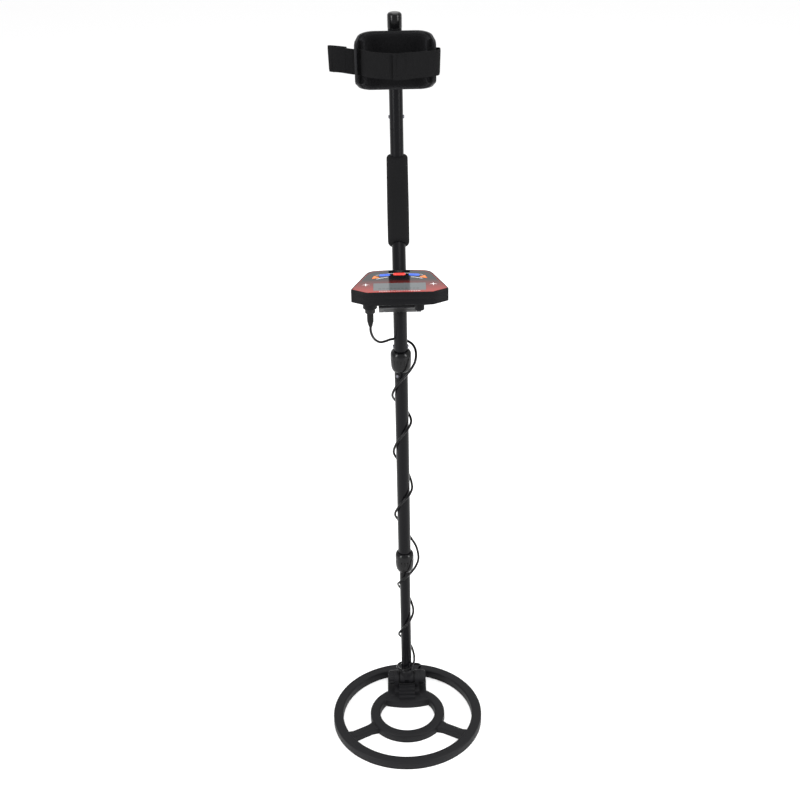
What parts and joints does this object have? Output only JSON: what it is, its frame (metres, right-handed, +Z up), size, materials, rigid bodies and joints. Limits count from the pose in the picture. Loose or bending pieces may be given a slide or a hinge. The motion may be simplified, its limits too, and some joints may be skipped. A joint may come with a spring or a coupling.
{
  "type": "metal detector",
  "caption": "Hand-held metal detector with an open ring search coil on a hinge, a telescopic shaft, a coiled cable, a keyed control box, a foam grip and a strapped arm cup.",
  "frame": {"origin": "on the ground at the coil's underside, straight below the coil hinge and on the axis of the upright shaft", "axes": "+Z up along the shaft, +Y back towards the user, -Y towards the middle of the coil, +X to the right as seen from the front"},
  "size_m": [0.23, 0.3306, 1.043],
  "materials": {
    "black_abs": "fine moulded texture, matt black",
    "lock_nut_plastic": "semi-gloss black",
    "black_tube": "black anodised, satin",
    "winding_copper": "enamelled copper wire",
    "inner_plastic": "natural",
    "rubber_washer": "matt",
    "zinc_steel": "zinc plated",
    "button_steel": "polished",
    "foam": "closed-cell foam, matt",
    "webbing": "woven nylon",
    "nut_plastic": "matt",
    "box_abs": "satin black",
    "battery_case": "printed foil",
    "board_green": "solder mask",
    "lcd_body": "dark",
    "lcd_glass": "grey liquid crystal",
    "panel_film": "glossy red to black film",
    "key_red": "satin",
    "key_blue": "satin",
    "key_orange": "satin",
    "speaker": "black",
    "jack_black": "gloss",
    "socket_metal": "nickel plated",
    "cable_pvc": "satin black"
  },
  "bodies": {
    "coil": {"coil_housing": "black_abs", "coil_base": "black_abs", "transmit_winding": "winding_copper", "receive_winding": "winding_copper", "hinge_bolt": "black_abs", "cable_gland": "black_abs", "cable_tail": "cable_pvc"},
    "knob": {"hinge_knob": "black_abs"},
    "lower_shaft": {"shaft_foot": "black_abs", "foot_pin": "zinc_steel", "hinge_washers": "rubber_washer", "lower_tube": "black_tube", "guide_bush": "inner_plastic", "cable_lower": "cable_pvc"},
    "lower_nut": {"lower_lock_nut": "lock_nut_plastic"},
    "handle": {"middle_tube": "black_tube", "lower_collet": "inner_plastic", "joint_sleeve": "inner_plastic", "upper_collet": "inner_plastic", "handle_tube": "black_tube", "foam_grip": "foam", "arm_sleeve": "inner_plastic", "arm_tube": "black_tube", "end_cap": "lock_nut_plastic", "button_springs": "zinc_steel", "arm_cup": "black_abs", "cup_bolts": "zinc_steel", "cup_nuts": "nut_plastic", "arm_pad": "foam", "strap_right": "webbing", "strap_left": "webbing", "box_base": "box_abs", "box_cover": "box_abs", "box_screws": "zinc_steel", "tube_clamp": "box_abs", "clamp_screws": "zinc_steel", "battery": "battery_case", "circuit_board": "board_green", "lcd_module": "lcd_body", "lcd_window": "lcd_glass", "panel_overlay": "panel_film", "loudspeaker": "speaker", "headphone_jack": "jack_black", "cable_socket": "socket_metal", "plug_body": "cable_pvc", "cable_upper": "cable_pvc"},
    "upper_nut": {"upper_lock_nut": "lock_nut_plastic"},
    "joint_button": {"joint_button": "button_steel"},
    "handle_button_left": {"handle_button_left": "button_steel"},
    "handle_button_right": {"handle_button_right": "button_steel"},
    "arm_button_left": {"arm_button_left": "button_steel"},
    "arm_button_right": {"arm_button_right": "button_steel"},
    "battery_door": {"battery_door": "box_abs"},
    "plug_ring": {"plug_nut": "lock_nut_plastic"},
    "power_key": {"power_key": "key_red"},
    "mode_key_left": {"mode_key_left": "key_blue"},
    "mode_key_right": {"mode_key_right": "key_blue"},
    "adjust_key_left": {"adjust_key_left": "key_orange"},
    "adjust_key_right": {"adjust_key_right": "key_orange"}
  },
  "joints": [
    {"name": "coil_hinge", "type": "hinge", "parent": "coil", "child": "lower_shaft", "pos_m": [0, 0, 0.029], "axis": [-1, 0, 0], "range_deg": [-15, 75]},
    {"name": "knob_turn", "type": "hinge", "parent": "coil", "child": "knob", "pos_m": [0, 0, 0.029], "axis": [1, 0, 0], "continuous": true},
    {"name": "shaft_slide", "type": "slide", "parent": "lower_shaft", "child": "handle", "axis": [0, 0, 1], "range_m": [0, 0.22]},
    {"name": "lower_nut_turn", "type": "hinge", "parent": "handle", "child": "lower_nut", "pos_m": [0, 0, 0.25], "axis": [0, 0, 1], "range_deg": [0, 120]},
    {"name": "upper_nut_turn", "type": "hinge", "parent": "handle", "child": "upper_nut", "pos_m": [0, 0, 0.595], "axis": [0, 0, 1], "range_deg": [0, 120]},
    {"name": "joint_button_press", "type": "slide", "parent": "handle", "child": "joint_button", "axis": [0.5299, 0.848, 0], "range_m": [0, 0.002], "stiffness_N_per_m": 1200, "springref_m": -0.002},
    {"name": "plug_ring_turn", "type": "hinge", "parent": "handle", "child": "plug_ring", "pos_m": [-0.04, -0.047, 0.695], "axis": [0, 0, 1], "continuous": true},
    {"name": "battery_door_off", "type": "slide", "parent": "handle", "child": "battery_door", "axis": [0, 0, -1], "range_m": [0, 0.012]},
    {"name": "handle_button_right_press", "type": "slide", "parent": "handle", "child": "handle_button_right", "axis": [-1, 0, 0], "range_m": [0, 0.002], "stiffness_N_per_m": 1200, "springref_m": -0.002},
    {"name": "handle_button_left_press", "type": "slide", "parent": "handle", "child": "handle_button_left", "axis": [1, 0, 0], "range_m": [0, 0.002], "stiffness_N_per_m": 1200, "springref_m": -0.002},
    {"name": "arm_button_right_press", "type": "slide", "parent": "handle", "child": "arm_button_right", "axis": [-1, 0, 0], "range_m": [0, 0.002], "stiffness_N_per_m": 1200, "springref_m": -0.002},
    {"name": "arm_button_left_press", "type": "slide", "parent": "handle", "child": "arm_button_left", "axis": [1, 0, 0], "range_m": [0, 0.002], "stiffness_N_per_m": 1200, "springref_m": -0.002},
    {"name": "power_key_press", "type": "slide", "parent": "handle", "child": "power_key", "axis": [0, 0, -1], "range_m": [0, 0.0006], "stiffness_N_per_m": 1500, "springref_m": -0.0006},
    {"name": "mode_key_left_press", "type": "slide", "parent": "handle", "child": "mode_key_left", "axis": [0, 0, -1], "range_m": [0, 0.0006], "stiffness_N_per_m": 1500, "springref_m": -0.0006},
    {"name": "mode_key_right_press", "type": "slide", "parent": "handle", "child": "mode_key_right", "axis": [0, 0, -1], "range_m": [0, 0.0006], "stiffness_N_per_m": 1500, "springref_m": -0.0006},
    {"name": "adjust_key_left_press", "type": "slide", "parent": "handle", "child": "adjust_key_left", "axis": [0, 0, -1], "range_m": [0, 0.0006], "stiffness_N_per_m": 1500, "springref_m": -0.0006},
    {"name": "adjust_key_right_press", "type": "slide", "parent": "handle", "child": "adjust_key_right", "axis": [0, 0, -1], "range_m": [0, 0.0006], "stiffness_N_per_m": 1500, "springref_m": -0.0006}
  ],
  "couplings": [
    {"joint": "handle_button_left_press", "follows": "handle_button_right_press", "ratio": 1},
    {"joint": "arm_button_left_press", "follows": "arm_button_right_press", "ratio": 1}
  ]
}
